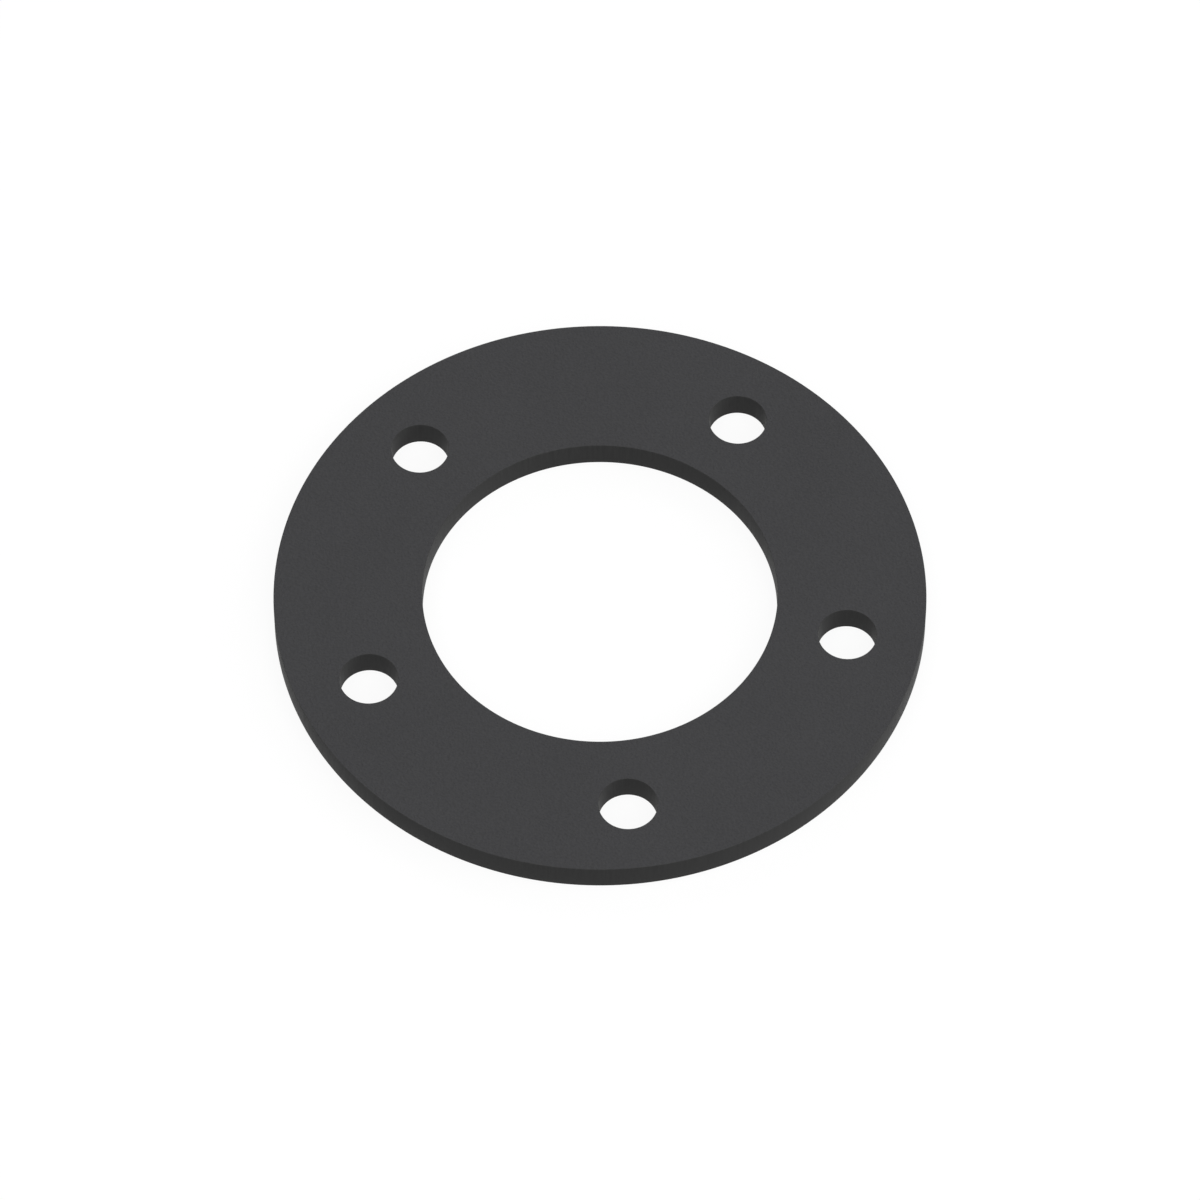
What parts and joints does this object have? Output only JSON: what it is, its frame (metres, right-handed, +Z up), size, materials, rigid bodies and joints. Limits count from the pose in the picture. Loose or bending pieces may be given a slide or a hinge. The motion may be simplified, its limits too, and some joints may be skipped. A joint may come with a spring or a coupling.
{
  "type": "fuel tank gasket",
  "caption": "Flat round rubber gasket with a wide central opening and unevenly spaced bolt holes, which seals the flange of a level sender to a fuel tank.",
  "frame": {"origin": "centre of the ring on its lower sealing face", "axes": "+Z up through the sheet, from the tank to the flange; +Y towards the middle of the wide gap between the two rear bolt holes, opposite the front bolt hole"},
  "size_m": [0.07, 0.07, 0.0032],
  "materials": {
    "rubber": "matte"
  },
  "bodies": {
    "root": {"gasket": "rubber"}
  },
  "joints": []
}
